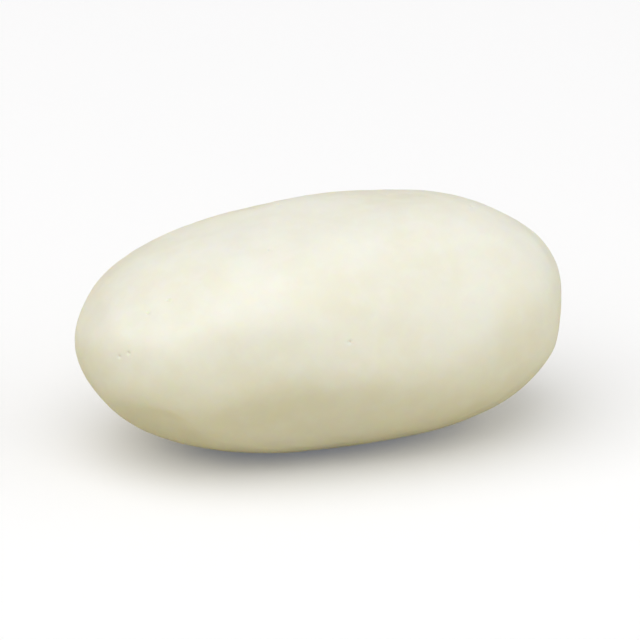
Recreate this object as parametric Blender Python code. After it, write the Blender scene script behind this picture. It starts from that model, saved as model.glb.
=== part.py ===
"""A yogurt covered almond: one whole nut under a thick, smooth, cream coloured coating.

Units are metres and +Z is up. The almond lies on its broad side, on a small flat spot at z = 0,
with its long axis along X and its blunter end towards +X.
"""

import math
import random

import bmesh
import bpy
from mathutils import Vector

# Overall size of the coated almond, before its broad facets are worn in
LENGTH = 0.0271
WIDTH = 0.0175
THICKNESS = 0.01265

# How full the ovoid is: a power of 2 is an ellipse, and a higher one is blunter
LENGTH_POWER = 2.37
SECTION_POWER = 2.23

# The upper half stands this share lower at the round end, and this share higher at the blunt one
CROWN_RISE = 0.17

# Broad facets, where the tumbling pan wore the coating nearly flat. Each is a plane that faces
# a heading round Z and an elevation above the horizon, and cuts its depth into the ovoid. The
# last number is how far the flat takes to run out into the round.
FACETS = (
    ("crown", 60, 76, 0.00034, 0.00015),
    ("crown_far_slope", 92, 51, 0.00032, 0.00022),
    ("crown_round_slope", -156, 57, 0.00028, 0.00017),
    ("near_shoulder", -85, 45, 0.00052, 0.00035),
    ("near_side", -88, 24, 0.00048, 0.00020),
    ("near_side_round_half", -110, 20, 0.00014, 0.00038),
    ("near_underside", -98, -28, 0.00058, 0.00022),
    ("near_underside_round_half", -143, -42, 0.00038, 0.00012),
    ("blunt_end", -8, -15, 0.00028, 0.00012),
    ("blunt_end_shoulder", 26, 53, 0.00032, 0.00030),
    ("blunt_end_near_cheek", -19, -7, 0.00024, 0.00016),
    ("blunt_end_lower_corner", -29, -40, 0.00015, 0.00018),
    ("blunt_end_far_cheek", 36, 4, 0.00022, 0.00015),
    ("round_end_shoulder", 167, 38, 0.00040, 0.00020),
    ("round_end_underside", 159, -43, 0.00034, 0.00020),
    ("round_end_near_cheek", -147, 18, 0.00012, 0.00022),
    ("round_end_far_cheek", 140, 2, 0.00022, 0.00015),
    ("far_side", 88, 14, 0.00042, 0.00020),
    ("far_underside", 76, -36, 0.00040, 0.00020),
)

# Shallow dents, where wet coating touched its neighbours
DENT_COUNT = 26
DENT_DEPTH = (0.00003, 0.00009)
DENT_RADIUS = (0.0012, 0.0026)
DENT_SEED = 52

# The small flat spot that the almond rests on is this deep a cut into the round underside
REST_FLAT_DEPTH = 0.00008

GRID_CUTS = 23
WELD_DISTANCE = 0.00001

COATING_COLOUR = (0.86, 0.82, 0.66, 1.0)
COATING_ROUGHNESS = 0.36


def clear_scene():
    for old in list(bpy.data.objects):
        bpy.data.objects.remove(old, do_unlink=True)


def heading(azimuth, elevation):
    """The unit vector at this azimuth round Z and elevation above the horizon, in degrees."""
    around = math.radians(azimuth)
    up = math.radians(elevation)
    return Vector((math.cos(around) * math.cos(up), math.sin(around) * math.cos(up), math.sin(up)))


def power_length(values, power):
    return sum(abs(value) ** power for value in values) ** (1 / power)


def ovoid_point(direction):
    """The point of the ovoid that a direction from its centre leads to. Its crown rises along X."""
    x, y, z = direction
    section = power_length((y, z), SECTION_POWER)
    reach = power_length((x, section), LENGTH_POWER)
    x, y, z = x / reach, y / reach, z / reach
    rise = 1 + CROWN_RISE * x if z > 0 else 1
    return Vector((x * LENGTH / 2, y * WIDTH / 2, z * THICKNESS / 2 * rise))


def facet_planes(points):
    """Each facet as its outward normal, its distance from the centre and its softness."""
    planes = []
    for _, azimuth, elevation, depth, softness in FACETS:
        normal = heading(azimuth, elevation)
        farthest = max(point.dot(normal) for point in points)
        planes.append((normal, farthest - depth, softness))
    return planes


def wear_flat(point, planes):
    """Presses a point back to each plane that it stands beyond, with a soft edge to the flat."""
    for normal, distance, softness in planes:
        beyond = (point.dot(normal) - distance) / softness
        pressed = math.log1p(math.exp(-abs(beyond))) + max(beyond, 0.0)
        point = point - normal * pressed * softness
    return point


def scattered_dents():
    """Dents as the direction of their middle, their depth and their radius."""
    rng = random.Random(DENT_SEED)
    dents = []
    for _ in range(DENT_COUNT):
        up = rng.uniform(-1, 1)
        around = rng.uniform(0, 2 * math.pi)
        across = math.sqrt(1 - up * up)
        direction = Vector((across * math.cos(around), across * math.sin(around), up))
        dents.append((direction, rng.uniform(*DENT_DEPTH), rng.uniform(*DENT_RADIUS)))
    return dents


def dent_depth(point, dents):
    """How far the dents pull the surface in at a point."""
    total = 0.0
    for middle, depth, radius in dents:
        total += depth * math.exp(-((point - middle).length / radius) ** 2)
    return total


def round_grid():
    """A cube whose faces are cut into a grid and blown up to a unit ball, so it has no poles."""
    ball = bmesh.new()
    bmesh.ops.create_cube(ball, size=2)
    bmesh.ops.subdivide_edges(ball, edges=ball.edges[:], cuts=GRID_CUTS, use_grid_fill=True)
    for vertex in ball.verts:
        even = [math.tan(value * math.pi / 4) for value in vertex.co]
        vertex.co = Vector(even).normalized()
    return ball


def shape_coating(ball):
    """Turns the ball into the almond: ovoid, then broad facets, then shallow dents."""
    directions = {vertex: vertex.co.copy() for vertex in ball.verts}
    planes = facet_planes([ovoid_point(direction) for direction in directions.values()])
    for vertex, direction in directions.items():
        vertex.co = wear_flat(ovoid_point(direction), planes)
    ball.normal_update()
    dents = [
        (wear_flat(ovoid_point(direction), planes), depth, radius)
        for direction, depth, radius in scattered_dents()
    ]
    pulled = {vertex: vertex.normal * dent_depth(vertex.co, dents) for vertex in ball.verts}
    for vertex, pull in pulled.items():
        vertex.co -= pull


def cut_rest_flat(almond):
    """Slices the underside off in one plane and closes it with one flat face."""
    lowest = min(vertex.co.z for vertex in almond.verts)
    plane = Vector((0, 0, lowest + REST_FLAT_DEPTH))
    everything = almond.verts[:] + almond.edges[:] + almond.faces[:]
    bmesh.ops.bisect_plane(
        almond, geom=everything, plane_co=plane, plane_no=(0, 0, -1), clear_outer=True
    )
    rim = [edge for edge in almond.edges if edge.is_boundary]
    bmesh.ops.edgeloop_fill(almond, edges=rim)
    bmesh.ops.remove_doubles(almond, verts=almond.verts[:], dist=WELD_DISTANCE)


def stand_on_origin(almond):
    """Moves the almond so that its flat spot is at z = 0, under the middle of its outline."""
    middle = []
    for axis in range(3):
        places = [vertex.co[axis] for vertex in almond.verts]
        middle.append((min(places) + max(places)) / 2)
    lowest = min(vertex.co.z for vertex in almond.verts)
    bmesh.ops.translate(almond, verts=almond.verts[:], vec=(-middle[0], -middle[1], -lowest))


def coating_material():
    material = bpy.data.materials.new("cream_coating")
    material.use_nodes = True
    shader = material.node_tree.nodes["Principled BSDF"]
    shader.inputs["Base Color"].default_value = COATING_COLOUR
    shader.inputs["Roughness"].default_value = COATING_ROUGHNESS
    shader.inputs["Metallic"].default_value = 0.0
    return material


def main():
    clear_scene()
    parts = bpy.data.collections.new("yogurt_covered_almond")
    bpy.context.scene.collection.children.link(parts)

    almond = round_grid()
    shape_coating(almond)
    cut_rest_flat(almond)
    stand_on_origin(almond)
    bmesh.ops.recalc_face_normals(almond, faces=almond.faces[:])
    mesh = bpy.data.meshes.new("coated_almond")
    almond.to_mesh(mesh)
    almond.free()
    mesh.shade_smooth()
    mesh.materials.append(coating_material())
    parts.objects.link(bpy.data.objects.new("coated_almond", mesh))


main()
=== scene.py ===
# %% [markdown]
# A yogurt covered almond is a whole nut that was rolled in a turning pan while thin coats of
# melted, yogurt flavoured fat were poured over it. Only the coating shows: a blunt egg with low
# flats, satin where a glaze dried on it.
# The plain solid of that almond comes first. It is the frame of this scene: the coating takes its
# size and its form from it, so nothing has to be fitted by eye.

# %% Load the solid almond
import math
import random

import bmesh
import bpy
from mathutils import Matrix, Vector


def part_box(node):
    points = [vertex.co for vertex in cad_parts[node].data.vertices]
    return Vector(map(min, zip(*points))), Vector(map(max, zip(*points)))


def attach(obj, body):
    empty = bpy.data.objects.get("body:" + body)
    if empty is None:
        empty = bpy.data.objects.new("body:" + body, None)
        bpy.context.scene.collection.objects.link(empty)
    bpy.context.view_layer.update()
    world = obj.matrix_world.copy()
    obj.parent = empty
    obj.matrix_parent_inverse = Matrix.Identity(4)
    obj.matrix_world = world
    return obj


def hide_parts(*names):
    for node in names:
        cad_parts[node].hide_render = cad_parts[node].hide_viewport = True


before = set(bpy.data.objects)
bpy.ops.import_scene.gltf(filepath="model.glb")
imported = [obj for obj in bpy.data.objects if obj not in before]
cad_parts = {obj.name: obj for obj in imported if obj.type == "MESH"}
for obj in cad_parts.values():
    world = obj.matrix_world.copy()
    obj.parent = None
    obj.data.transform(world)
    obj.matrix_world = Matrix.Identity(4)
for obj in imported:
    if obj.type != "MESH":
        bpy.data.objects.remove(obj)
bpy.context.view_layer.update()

MILLIMETRE = 0.001


def in_millimetres(lengths):
    """Lengths in metres as rounded millimetres, ready to print."""
    return [round(length / MILLIMETRE, 2) for length in lengths]


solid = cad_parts["coated_almond"]
lowest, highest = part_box("coated_almond")
middle = (lowest + highest) / 2
size = highest - lowest
print("Solid almond, millimetres:", in_millimetres(size))

# %% [markdown]
# A food photographer stands well back and zooms in, because a near lens swells whatever is
# closest to it. A camera could be aimed by eye in the viewport, or placed by angles. Angles are
# used here: the almond was seen from its front left and from a little above, and the length of
# the lens follows from the distance and from how wide the picture is at the almond.

# %% Place the camera
VIEW_AZIMUTH = -21
VIEW_ELEVATION = 21
CAMERA_DISTANCE = 0.65
PICTURE_WIDTH = 1.28 * size.x
SENSOR_WIDTH = 36


def toward(azimuth, elevation):
    """The unit vector from the almond to a place at these angles. Azimuth 0 is straight in front."""
    around = math.radians(azimuth)
    up = math.radians(elevation)
    level = math.cos(up)
    return Vector((math.sin(around) * level, -math.cos(around) * level, math.sin(up)))


def turned_to(direction):
    """The rotation that makes a camera or a lamp at this direction look back at the almond."""
    return direction.to_track_quat("Z", "Y").to_euler()


eye = toward(VIEW_AZIMUTH, VIEW_ELEVATION)
bpy.ops.object.camera_add(location=middle + eye * CAMERA_DISTANCE, rotation=turned_to(eye))
camera = bpy.context.object
camera.name = "camera"
camera.data.sensor_width = SENSOR_WIDTH
camera.data.lens = SENSOR_WIDTH * CAMERA_DISTANCE / PICTURE_WIDTH
bpy.context.scene.camera = camera
print("Camera lens, millimetres:", round(camera.data.lens))

# %% [markdown]
# Finishes and light are built from shader nodes. Dozens of Math nodes wired by hand hide what
# they work out, so one small class wraps a socket and lets Python's own signs add them: 1 - mask
# is then a Subtract node. A second class holds a node tree, and its method node adds any other one.

# %% Write the shader helpers


class Shade:
    """A socket that carries a value over a surface. Python's signs add Math nodes to it."""

    def __init__(self, finish, socket):
        self.finish = finish
        self.socket = socket

    def maths(self, operation, first, second):
        return self.finish.node("Math", {"operation": operation}, {0: first, 1: second})

    def __add__(self, other):
        return self.maths("ADD", self, other)

    def __radd__(self, other):
        return self.maths("ADD", other, self)

    def __sub__(self, other):
        return self.maths("SUBTRACT", self, other)

    def __rsub__(self, other):
        return self.maths("SUBTRACT", other, self)

    def __mul__(self, other):
        return self.maths("MULTIPLY", self, other)

    def __rmul__(self, other):
        return self.maths("MULTIPLY", other, self)


class Finish:
    """The node tree of a material or of the room, to which nodes are added one call at a time."""

    def __init__(self, owner, shader):
        owner.use_nodes = True
        self.owner = owner
        self.tree = owner.node_tree
        self.shader = self.tree.nodes[shader]

    def node(self, kind, settings, sockets, output=0):
        """Adds a node, makes its settings, fills or links its sockets, and gives back an output."""
        made = self.tree.nodes.new("ShaderNode" + kind)
        for name, value in settings.items():
            setattr(made, name, value)
        for name, value in sockets.items():
            self.fill(made.inputs[name], value)
        return Shade(self, made.outputs[output])

    def fill(self, socket, value):
        """Links a Shade to a socket, or sets a plain value on it."""
        if isinstance(value, Shade):
            self.tree.links.new(value.socket, socket)
        else:
            socket.default_value = value

    def set_shader(self, sockets):
        """Fills or links sockets of the tree's own shader."""
        for name, value in sockets.items():
            self.fill(self.shader.inputs[name], value)

    def between(self, low, high, value):
        """Goes smoothly from 0 where the value is low to 1 where it is high."""
        kinds = {"interpolation_type": "SMOOTHSTEP"}
        return self.node("MapRange", kinds, {"Value": value, "From Min": low, "From Max": high})

    def blend(self, share, first, second):
        """The first colour where the share is 0, and the second where it is 1."""
        # A Mix node takes its two colours at sockets 6 and 7, and gives the mixed one at output 2
        kinds = {"data_type": "RGBA"}
        sockets = {"Factor": share, 6: first, 7: second}
        return self.node("Mix", kinds, sockets, 2)


def new_material(name):
    """A new material, ready for its nodes."""
    return Finish(bpy.data.materials.new(name), "Principled BSDF")


print("Shader helpers are ready")

# %% [markdown]
# The picture has pure white paper under and behind the almond. A filmic view transform would turn
# that white grey, so the Standard one is set, where a value of 1 is white.
# One large soft box hangs over the table, to the left and a little in front. It makes the broad
# highlight on the near shoulder and the soft shadow under the belly. A weaker one stands low to
# the right and keeps the blunt end from going dull. It is nearly as wide as the first, because a
# small one of the same power would glare along the top when the almond is seen from the left.

# %% Hang the soft boxes
BOX_DISTANCE = 0.5
MAIN_BOX = {"angles": (-66, 65), "width": 0.85, "power": 2.6}
RIGHT_BOX = {"angles": (58, 11), "width": 0.8, "power": 1.4}

bpy.context.scene.view_settings.view_transform = "Standard"


def hang_box(name, angles, width, power):
    """Hangs a square soft box in this direction, turned to the almond. The camera doesn't see it."""
    direction = toward(*angles)
    place = middle + direction * BOX_DISTANCE
    bpy.ops.object.light_add(type="AREA", location=place, rotation=turned_to(direction))
    box = bpy.context.object
    box.name = name
    box.data.shape = "SQUARE"
    box.data.size = width
    box.data.energy = power
    box.visible_camera = False


hang_box("main_box", **MAIN_BOX)
hang_box("right_box", **RIGHT_BOX)
print("Width of the main box over its distance:", round(MAIN_BOX["width"] / BOX_DISTANCE, 2))

# %% [markdown]
# The rest of the light comes from all round, off the ceiling and the walls. The walls are slightly
# cool, which keeps the almond's sides from going yellow. Only the one behind it, to the left, is a
# warm cream: it gives the back edge and the round end the warm glow that they have on the real
# picture. So the room is a blend of three colours, with soft edges between them. How high a
# direction points decides between wall and ceiling, and how far it turns to the warm wall decides
# between the two walls.

# %% Light the room
CEILING = (0.415, 0.415, 0.415, 1)
WALLS = (0.515, 0.57, 0.585, 1)
WARM_WALL = (0.55, 0.49, 0.26, 1)
CEILING_EDGE = (0, 0.5)
WARM_EDGE = (0.1, 0.9)
WARM_AZIMUTH = -155

room = Finish(bpy.data.worlds.new("room"), "Background")
bpy.context.scene.world = room.owner
direction = room.node("TexCoord", {}, {}, "Generated")
height = room.node("SeparateXYZ", {}, {"Vector": direction}, "Z")
warm_side = toward(WARM_AZIMUTH, 0)
turned = room.node("VectorMath", {"operation": "DOT_PRODUCT"}, {0: direction, 1: warm_side}, "Value")
walls = room.blend(room.between(*WARM_EDGE, turned), WALLS, WARM_WALL)
up_high = room.between(*CEILING_EDGE, height)
room.set_shader({"Color": room.blend(up_high, walls, CEILING), "Strength": 1})
print("Nodes in the room:", len(room.tree.nodes))

# %% [markdown]
# The table is white paper, far wider than the picture, so that no edge shows from any side.
# On the real picture the paper was whitened afterwards, but the almond's underside still shows
# what really lay there: something duller, that sent back a warm light. One sheet can't do both.
# So two sheets lie here, a hair apart. The upper one is for the camera, and is hidden from light
# that bounces. The lower one is for the light, and is hidden from the camera. A weak glow on the
# upper one stands for the whitening: it lifts the shadow and takes out the cream tint that the
# almond throws into it.

# %% Lay the paper
PAPER_WIDTH = 8
HAIR = 0.01 * MILLIMETRE
WHITE_PAPER = (0.90, 0.885, 0.86, 1)
WHITENING = (0.10, 0.11, 0.14, 1)
DULL_PAPER = (0.58, 0.528, 0.343, 1)
NO_GLOW = (0, 0, 0, 1)
PAPER_ROUGHNESS = 0.9
PAPER_SHINE = 0.1


def lay_sheet(name, height, colour, glow):
    """Lays one wide sheet of matt paper at this height."""
    bpy.ops.mesh.primitive_plane_add(size=PAPER_WIDTH, location=(0, 0, height))
    sheet = bpy.context.object
    sheet.name = name
    finish = new_material(name)
    finish.set_shader({
        "Base Color": colour,
        "Roughness": PAPER_ROUGHNESS,
        "Specular IOR Level": PAPER_SHINE,
        "Emission Color": glow,
        "Emission Strength": 1,
    })
    sheet.data.materials.append(finish.owner)
    return sheet


seen_paper = lay_sheet("white_paper", 0, WHITE_PAPER, WHITENING)
seen_paper.visible_diffuse = False
seen_paper.visible_glossy = False
seen_paper.visible_shadow = False
lit_paper = lay_sheet("dull_paper", -HAIR, DULL_PAPER, NO_GLOW)
lit_paper.visible_camera = False
print("Sheets laid:", seen_paper.name, lit_paper.name)

# %% [markdown]
# The coating could start from a sphere, but a sphere has poles, where its thin triangles pinch
# the highlight. A box has none. It is cut into more cells along its longest side, so that they
# come out nearly square, and a subdivision rounds it. The net is then about even all over, and
# what is pushed or pricked into it later comes out round.

# %% Cut a box into cells and round it
CELLS = (5, 3, 3)
ROUNDING = 3


def select_where(piece, kind, rule):
    """In edit mode, selects only the points or edges of a piece's net that follow a rule."""
    bpy.ops.mesh.select_mode(type=kind)
    bpy.ops.mesh.select_all(action="DESELECT")
    net = bmesh.from_edit_mesh(piece.data)
    parts = net.verts if kind == "VERT" else net.edges
    for part in parts:
        if rule(part):
            part.select_set(True)
    net.select_flush_mode()
    bmesh.update_edit_mesh(piece.data)


def runs_along(edge, axis):
    """Whether an edge of the box runs along this axis. The box's other edges are square to it."""
    return abs((edge.verts[1].co - edge.verts[0].co)[axis]) > HAIR


def finish_with(piece, kind, **settings):
    """Adds a modifier to a piece, makes its settings, and applies it."""
    bpy.context.view_layer.objects.active = piece
    bpy.ops.object.modifier_add(type=kind)
    modifier = piece.modifiers[-1]
    for name, value in settings.items():
        setattr(modifier, name, value)
    bpy.ops.object.modifier_apply(modifier=modifier.name)


def box_of(piece):
    """The lowest and the highest corner of a piece's mesh."""
    places = [vertex.co for vertex in piece.data.vertices]
    corners = []
    for pick in (min, max):
        corners.append(Vector([pick(place[axis] for place in places) for axis in range(3)]))
    return corners


def stretch_to(piece, low, high):
    """Moves and resizes a piece's mesh in edit mode, so that it just fills this box."""
    old_low, old_high = box_of(piece)
    old_size = old_high - old_low
    new_size = high - low
    centre = (low + high) / 2
    bpy.ops.object.mode_set(mode="EDIT")
    bpy.ops.mesh.select_all(action="SELECT")
    bpy.ops.transform.translate(value=centre - (old_low + old_high) / 2)
    ratios = [new / old for new, old in zip(new_size, old_size)]
    bpy.ops.transform.resize(value=ratios, center_override=centre)
    bpy.ops.object.mode_set(mode="OBJECT")


bpy.ops.object.select_all(action="DESELECT")
bpy.ops.mesh.primitive_cube_add(size=1, location=middle, scale=size)
coating = bpy.context.object
coating.name = "cream_coating"
bpy.ops.object.transform_apply(location=True, rotation=True, scale=True)
bpy.ops.object.mode_set(mode="EDIT")
for axis, cells in enumerate(CELLS):
    select_where(coating, "EDGE", lambda edge: runs_along(edge, axis))
    bpy.ops.mesh.subdivide(number_cuts=cells - 1)
bpy.ops.object.mode_set(mode="OBJECT")
print("Cells of the box:", len(coating.data.polygons))
finish_with(coating, "SUBSURF", levels=ROUNDING, render_levels=ROUNDING)
stretch_to(coating, lowest, highest)
print("Faces of the blank:", len(coating.data.polygons))

# %% [markdown]
# The low flats are where almonds pressed against each other in the pan. They are in the solid
# already, so the net is shrunk onto it, like foil onto a sweet. Each point goes to the nearest
# place on the solid. That bunches some of them up, so the net is relaxed and shrunk once more.

# %% Shrink the net onto the solid
RELAX_ROUNDS = 6
RELAX_STRENGTH = 0.5


def shrink_on(piece):
    """Moves each point of a piece's net to the nearest place on the solid."""
    finish_with(piece, "SHRINKWRAP", target=solid, wrap_method="NEAREST_SURFACEPOINT")


shrink_on(coating)
bpy.ops.object.mode_set(mode="EDIT")
bpy.ops.mesh.select_all(action="SELECT")
bpy.ops.mesh.vertices_smooth(factor=RELAX_STRENGTH, repeat=RELAX_ROUNDS)
bpy.ops.object.mode_set(mode="OBJECT")
shrink_on(coating)
print("Highest corner of the net's box, millimetres:", in_millimetres(box_of(coating)[1]))

# %% [markdown]
# Pinholes are left by air bubbles that burst in the warm fat, and dimples and pimples by drops
# that dried unevenly. They could be painted with a bump map, but then the edge of the almond
# would stay smooth. Here a dimple or pimple is a point of the net that is pushed in or pulled out
# with its neighbours, by proportional editing. A pinhole is a point whose corner is bevelled off
# into a small face, which is then inset and sunk. Places are drawn with a seeded random, so they
# are the same in every run.

# %% Push the dimples and prick the pinholes
DIMPLE = {"count": 46, "depth": 0.055 * MILLIMETRE, "radius": 0.9 * MILLIMETRE}
PIMPLE = {"count": 30, "depth": -0.04 * MILLIMETRE, "radius": 0.7 * MILLIMETRE}
PINHOLE_COUNT = 24
PINHOLE_RADIUS = 0.14 * MILLIMETRE
PINHOLE_RIM = 0.04 * MILLIMETRE
PINHOLE_DEPTH = 0.07 * MILLIMETRE
KEEP_OFF_FOOT = 1.5 * MILLIMETRE
SEED = 7

rng = random.Random(SEED)


def nearest(points, place):
    """The number of the point that lies nearest to a place."""
    return min(range(len(points)), key=lambda number: (points[number] - place).length_squared)


def select_scattered(piece, count):
    """In edit mode, selects random points of a piece, none of them low enough to be near its foot."""
    points = [point.co.copy() for point in bmesh.from_edit_mesh(piece.data).verts]
    chosen = set()
    while len(chosen) < count:
        direction = Vector([rng.gauss(0, 1) for _ in range(3)]).normalized()
        place = middle + Vector([part * side / 2 for part, side in zip(direction, size)])
        if place.z > KEEP_OFF_FOOT:
            chosen.add(nearest(points, place))
    select_where(piece, "VERT", lambda point: point.index in chosen)


def push_in(piece, count, depth, radius):
    """Pushes random points in, or out by a depth below 0, and all within a radius of them by less."""
    select_scattered(piece, count)
    bpy.ops.transform.shrink_fatten(
        value=-depth, use_proportional_edit=True, proportional_size=radius
    )


bpy.ops.object.mode_set(mode="EDIT")
push_in(coating, **DIMPLE)
push_in(coating, **PIMPLE)
select_scattered(coating, PINHOLE_COUNT)
bpy.ops.mesh.bevel(offset=PINHOLE_RADIUS, affect="VERTICES")
bpy.ops.mesh.select_mode(type="FACE")
bpy.ops.mesh.inset(thickness=PINHOLE_RIM, depth=-PINHOLE_DEPTH, use_individual=True)
bpy.ops.mesh.select_mode(type="VERT")
bpy.ops.object.mode_set(mode="OBJECT")
print("Faces after the pinholes:", len(coating.data.polygons))

# %% [markdown]
# A subdivision rounds the net, and then cloud textures push it in and out by a few hundredths of
# a millimetre: broad waves from the rolling, and a fine orange peel from the last coat as it set.
# They are small next to the flats, and the almond's long edges of light waver a little, as on
# the real one.

# %% Round the net and make it wave
FINE_ROUNDING = 2
WAVES = {"name": "waves", "width": 2.4 * MILLIMETRE, "height": 0.055 * MILLIMETRE}
PEEL = {"name": "peel", "width": 0.7 * MILLIMETRE, "height": 0.022 * MILLIMETRE}


def ripple(piece, name, width, height):
    """Pushes a piece in and out by a soft cloud texture, with blobs of this width and height."""
    texture = bpy.data.textures.new(name, "CLOUDS")
    texture.noise_scale = width
    texture.noise_depth = 1
    finish_with(piece, "DISPLACE", texture=texture, texture_coords="LOCAL", strength=height)


finish_with(coating, "SUBSURF", levels=FINE_ROUNDING, render_levels=FINE_ROUNDING)
ripple(coating, **WAVES)
ripple(coating, **PEEL)
print("Faces of the coating:", len(coating.data.polygons))

# %% [markdown]
# The coating stands for the solid, so it is brought just inside the solid's box. The foot is the
# small flat that the almond stands on. The waves have bent it, so its points are then pressed
# down to the paper again.

# %% Fit the box and press the foot flat
INSET = 0.002 * MILLIMETRE
FOOT_HEIGHT = 0.03 * MILLIMETRE

stretch_to(coating, lowest + Vector((INSET, INSET, 0)), highest - Vector((INSET, INSET, INSET)))
bpy.ops.object.mode_set(mode="EDIT")
select_where(coating, "VERT", lambda point: point.co.z < FOOT_HEIGHT)
bpy.ops.transform.resize(value=(1, 1, 0), center_override=(0, 0, 0))
bpy.ops.mesh.select_all(action="DESELECT")
bpy.ops.object.mode_set(mode="OBJECT")
bpy.ops.object.select_all(action="DESELECT")
coating.select_set(True)
bpy.ops.object.shade_smooth()
for corner in box_of(coating):
    print("Corner of the coating's box, millimetres:", in_millimetres(corner))

# %% [markdown]
# The finish is cream fat under a thin confectioner's glaze. Light enters it and comes out a
# fraction of a millimetre away, red further than blue, so it gets subsurface scattering. Its
# colour is not even: broad clouds are a deeper cream where the coat is thick, and small mottles
# and the two ends are paler, where pieces rubbed. Widths here are in millimetres.

# %% Mix the cream
CREAM = (0.885, 0.87, 0.775, 1)
DEEP_CREAM = (0.865, 0.835, 0.70, 1)
RUBBED_CREAM = (0.915, 0.905, 0.83, 1)
CLOUDS = {"low": 0.35, "high": 0.7, "width": 5, "detail": 2, "shift": 0}
MOTTLES = {"low": 0.42, "high": 0.68, "width": 1.3, "detail": 3, "shift": 20}
ENDS_EDGE = (0.55, 1.0)
HALF_LENGTH = size.x / MILLIMETRE / 2
CLOUD_SHARE = 0.7
MOTTLE_SHARE = 0.35
ENDS_SHARE = 0.3

cream = new_material("yogurt_cream")
place = cream.node("TexCoord", {}, {}, "Object")
here = cream.node("VectorMath", {"operation": "MULTIPLY"}, {0: place, 1: (1 / MILLIMETRE,) * 3})


def noise(width, detail, shift):
    """Noise from 0 to 1 with blobs of about this width. Its shift keeps it apart from the others."""
    moved = cream.node("VectorMath", {"operation": "ADD"}, {0: here, 1: (shift, -shift, shift)})
    return cream.node("TexNoise", {}, {"Vector": moved, "Scale": 1 / width, "Detail": detail})


def patches(low, high, **blobs):
    """Patches with soft edges: 1 where the noise is high, and 0 where it is low."""
    return cream.between(low, high, noise(**blobs))


along = cream.node("SeparateXYZ", {}, {"Vector": here}, "X")
ends = cream.between(*ENDS_EDGE, along * along * (1 / HALF_LENGTH**2))
rubbed = patches(**MOTTLES) * MOTTLE_SHARE + ends * ENDS_SHARE
unrubbed_colour = cream.blend(patches(**CLOUDS) * CLOUD_SHARE, CREAM, DEEP_CREAM)
colour = cream.blend(rubbed, unrubbed_colour, RUBBED_CREAM)
print("Nodes in the cream:", len(cream.tree.nodes))

# %% [markdown]
# The glaze is satin, not glass. It dried in patches, so the roughness wanders, and it is duller
# where pieces rubbed. A very fine grain, too small to model, comes from a bump. Its heights are
# in millimetres, because the Bump node's distance is set to one millimetre.

# %% Lay the glaze and the grain
GLAZE = {"low": 0.4, "high": 0.65, "width": 2.2, "detail": 2, "shift": 50}
GRAIN = {"width": 0.22, "detail": 2, "shift": 70}
GRAIN_HEIGHT = 0.0022
PORES = {"width": 0.09, "detail": 1, "shift": 90}
PORE_HEIGHT = 0.0006
SATIN = 0.42
LESS_WHERE_GLAZED = 0.08
MORE_WHERE_RUBBED = 0.1
SHINE = 0.69
GLAZE_WEIGHT = 0.12
GLAZE_ROUGHNESS = 0.22
SCATTER_DISTANCE = 0.3 * MILLIMETRE
SCATTER_BY_COLOUR = (1.0, 0.8, 0.45)

glazed = patches(**GLAZE)
heights = noise(**GRAIN) * GRAIN_HEIGHT + noise(**PORES) * PORE_HEIGHT
bump = cream.node("Bump", {}, {"Height": heights, "Distance": MILLIMETRE})

cream.set_shader({
    "Base Color": colour,
    "Roughness": SATIN - glazed * LESS_WHERE_GLAZED + rubbed * MORE_WHERE_RUBBED,
    "Specular IOR Level": SHINE,
    "Coat Weight": glazed * GLAZE_WEIGHT,
    "Coat Roughness": GLAZE_ROUGHNESS,
    "Subsurface Weight": 1.0,
    "Subsurface Radius": SCATTER_BY_COLOUR,
    "Subsurface Scale": SCATTER_DISTANCE,
    "Normal": bump,
})
coating.data.materials.append(cream.owner)
print("Nodes in the whole finish:", len(cream.tree.nodes))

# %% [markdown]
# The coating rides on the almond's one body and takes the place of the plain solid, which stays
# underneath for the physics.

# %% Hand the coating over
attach(coating, "root")
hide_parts("coated_almond")
